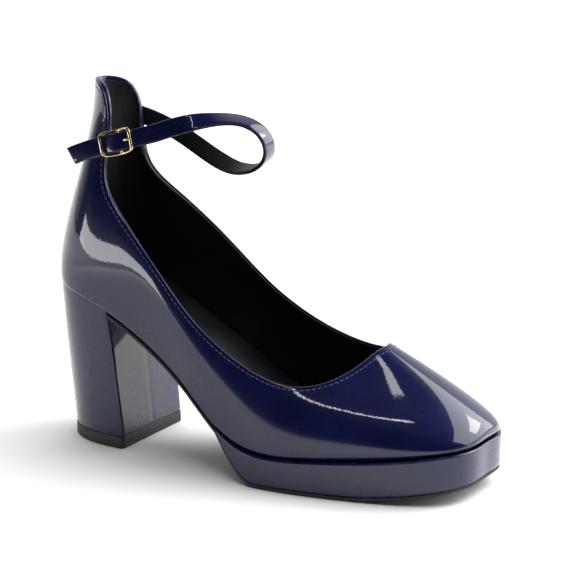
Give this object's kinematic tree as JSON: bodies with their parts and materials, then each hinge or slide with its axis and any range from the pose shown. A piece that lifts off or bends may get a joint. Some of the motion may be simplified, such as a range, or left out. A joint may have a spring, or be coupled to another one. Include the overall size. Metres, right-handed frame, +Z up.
{
  "type": "high heel pump",
  "caption": "Closed-toe block-heel platform pump for the right foot, with a high back tab and a buckled ankle strap.",
  "frame": {"origin": "centre of the heel's tread, on the ground", "axes": "+X to the toe, +Y to the inner (medial) side of this right shoe, +Z up"},
  "size_m": [0.2265, 0.0917, 0.1778],
  "materials": {
    "patent": "navy patent, high gloss",
    "lining": "black smooth lining",
    "foam": "grey foam",
    "stiffener": "thermoplastic sheet",
    "board": "pressed fibre board",
    "core_plastic": "light moulded core",
    "heel_plastic": "moulded heel",
    "steel": "plain steel",
    "sole_rubber": "matt black sole",
    "tread_rubber": "matt black heel tread",
    "gold": "polished gold tone"
  },
  "bodies": {
    "shoe": {"top_lift": "tread_rubber", "heel_block": "heel_plastic", "heel_cover": "patent", "heel_nails": "steel", "heel_screw": "steel", "outsole": "sole_rubber", "platform_core": "core_plastic", "platform_cover": "patent", "insole_board": "board", "shank": "steel", "shank_rivets": "steel", "bottom_filler": "board", "insock_foam": "foam", "sock_lining": "lining", "upper": "patent", "vamp_lining": "lining", "quarter_lining": "lining", "heel_counter": "stiffener", "toe_puff": "stiffener", "collar_foam": "foam", "topline_facing": "patent", "strap_outer": "patent", "strap_lining": "lining", "buckle_tab": "patent"},
    "strap_end": {"strap_tail": "patent", "strap_tail_lining": "lining"},
    "buckle": {"buckle_frame": "gold", "buckle_bar": "gold"},
    "prong": {"buckle_prong": "gold"}
  },
  "joints": [
    {"name": "strap_end_flex", "type": "hinge", "parent": "shoe", "child": "strap_end", "pos_m": [0.00942, -0.0272, 0.15012], "axis": [-0.2975, 0.1239, 0.9467], "range_deg": [0, 25]},
    {"name": "buckle_tilt", "type": "hinge", "parent": "shoe", "child": "buckle", "pos_m": [0.0182, -0.0228, 0.1523], "axis": [-0.2975, 0.1239, 0.9467], "range_deg": [-2.5, 2.5]},
    {"name": "prong_lift", "type": "hinge", "parent": "buckle", "child": "prong", "pos_m": [0.0182, -0.0228, 0.1523], "axis": [0.2975, -0.1239, -0.9467], "range_deg": [0, 6]}
  ]
}
